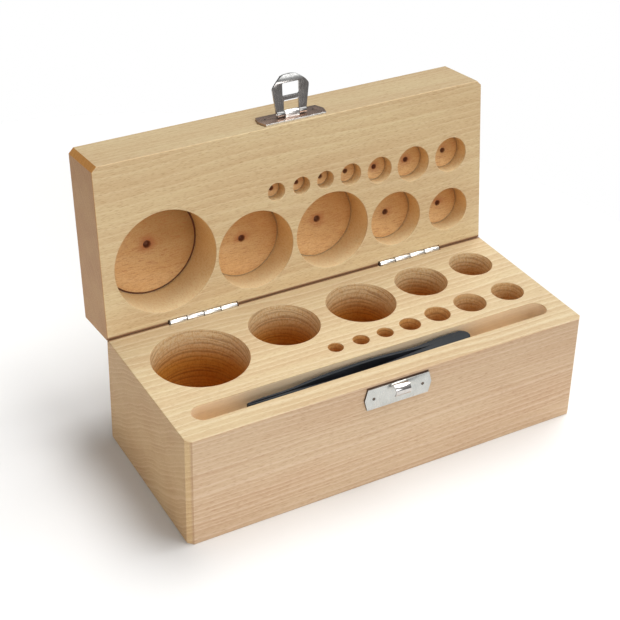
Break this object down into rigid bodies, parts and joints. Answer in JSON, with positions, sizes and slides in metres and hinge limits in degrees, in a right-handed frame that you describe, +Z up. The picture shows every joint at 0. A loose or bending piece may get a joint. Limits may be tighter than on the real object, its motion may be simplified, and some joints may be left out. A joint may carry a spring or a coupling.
{
  "type": "weight set case",
  "caption": "Solid wood case with pockets for button weights, a tweezers slot, a hinged lid with matching pockets, and a front catch.",
  "frame": {"origin": "centre of the base block's underside", "axes": "+X along the case to its right end, +Y from the catch side to the hinge side, +Z up; the lid is stored open as in the picture"},
  "size_m": [0.182, 0.1127, 0.1416],
  "materials": {
    "beech": "fine sanded, unvarnished",
    "nickel_plate": "bright nickel plate on pressed sheet steel",
    "fastener_steel": "nickel-plated wire and screws",
    "dark_plastic": "moulded, satin"
  },
  "bodies": {
    "base": {"base_block": "beech", "keeper_plate": "nickel_plate", "keeper_nails": "fastener_steel", "left_hinge_base_leaf": "nickel_plate", "left_hinge_pin": "fastener_steel", "left_hinge_base_screws": "fastener_steel", "right_hinge_base_leaf": "nickel_plate", "right_hinge_pin": "fastener_steel", "right_hinge_base_screws": "fastener_steel"},
    "lid": {"lid_block": "beech", "catch_plate": "nickel_plate", "catch_plate_nails": "fastener_steel", "catch_pin": "fastener_steel", "left_hinge_lid_leaf": "nickel_plate", "left_hinge_lid_screws": "fastener_steel", "right_hinge_lid_leaf": "nickel_plate", "right_hinge_lid_screws": "fastener_steel"},
    "lever": {"catch_lever": "nickel_plate"},
    "tweezers_body": {"tweezers": "dark_plastic"}
  },
  "joints": [
    {"name": "lid_hinge", "type": "hinge", "parent": "base", "child": "lid", "pos_m": [0, 0.0362, 0.04915], "axis": [1, 0, 0], "range_deg": [0, 96]},
    {"name": "catch_hinge", "type": "hinge", "parent": "lid", "child": "lever", "pos_m": [0, 0.05042, 0.12558], "axis": [1, 0, 0], "range_deg": [-70, 90]},
    {"name": "tweezers_lift", "type": "slide", "parent": "base", "child": "tweezers_body", "axis": [0, 0, 1], "range_m": [0, 0.045]}
  ]
}
